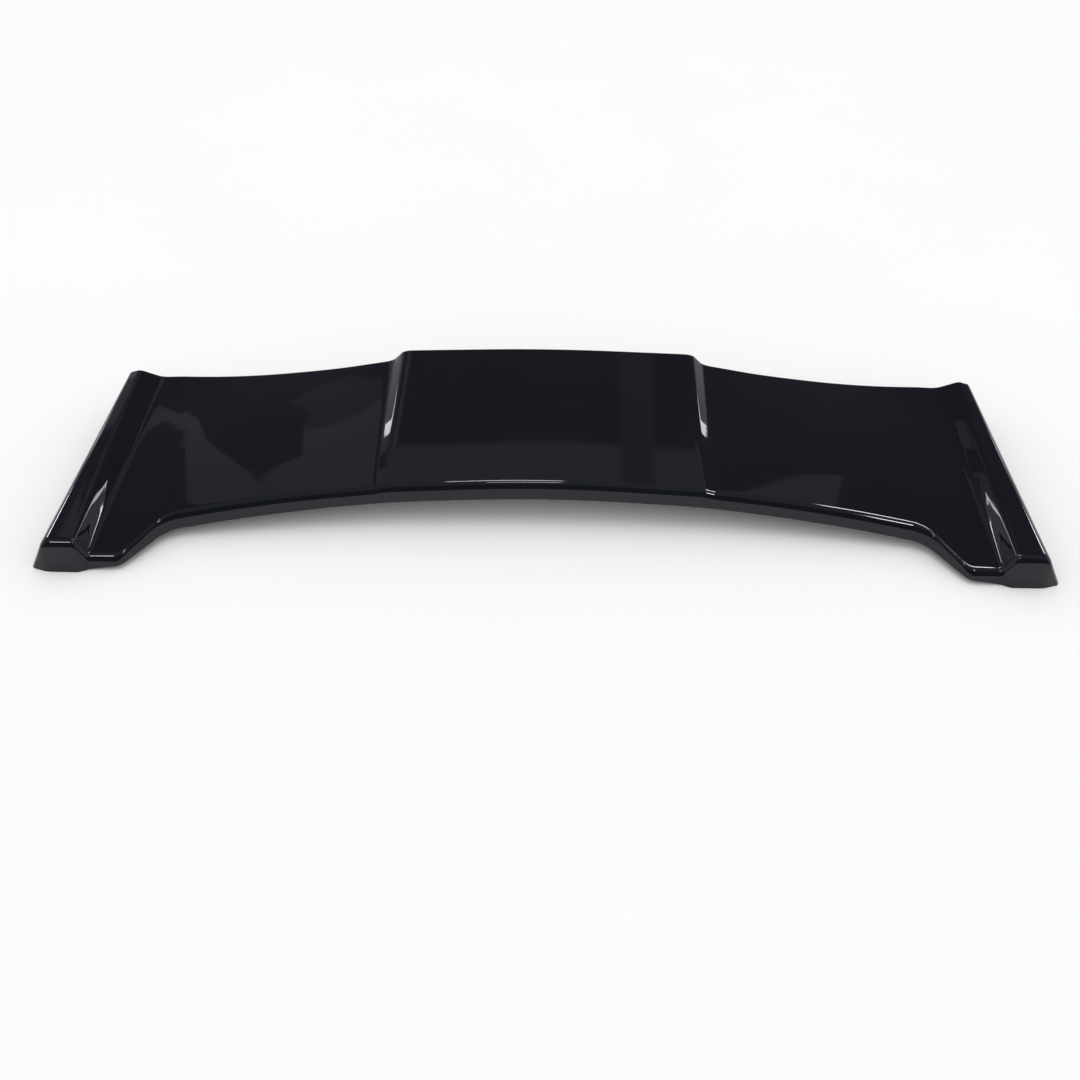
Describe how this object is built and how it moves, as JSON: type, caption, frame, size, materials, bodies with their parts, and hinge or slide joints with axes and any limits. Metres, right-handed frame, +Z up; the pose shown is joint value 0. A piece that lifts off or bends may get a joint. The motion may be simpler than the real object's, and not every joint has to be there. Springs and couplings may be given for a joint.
{
  "type": "car roof spoiler",
  "caption": "Gloss-black car roof spoiler: a hollow one-piece moulding with a raised middle panel, scooped wings and finned ends that reach forward as feet.",
  "frame": {"origin": "middle of the footprint, level with the flat pads under the two ends", "axes": "+X across the car, +Y rearwards from the leading edge to the trailing edge, +Z up"},
  "size_m": [1.2032, 0.3477, 0.0923],
  "materials": {
    "gloss_paint": "gloss"
  },
  "bodies": {
    "root": {"spoiler_shell": "gloss_paint"}
  },
  "joints": []
}
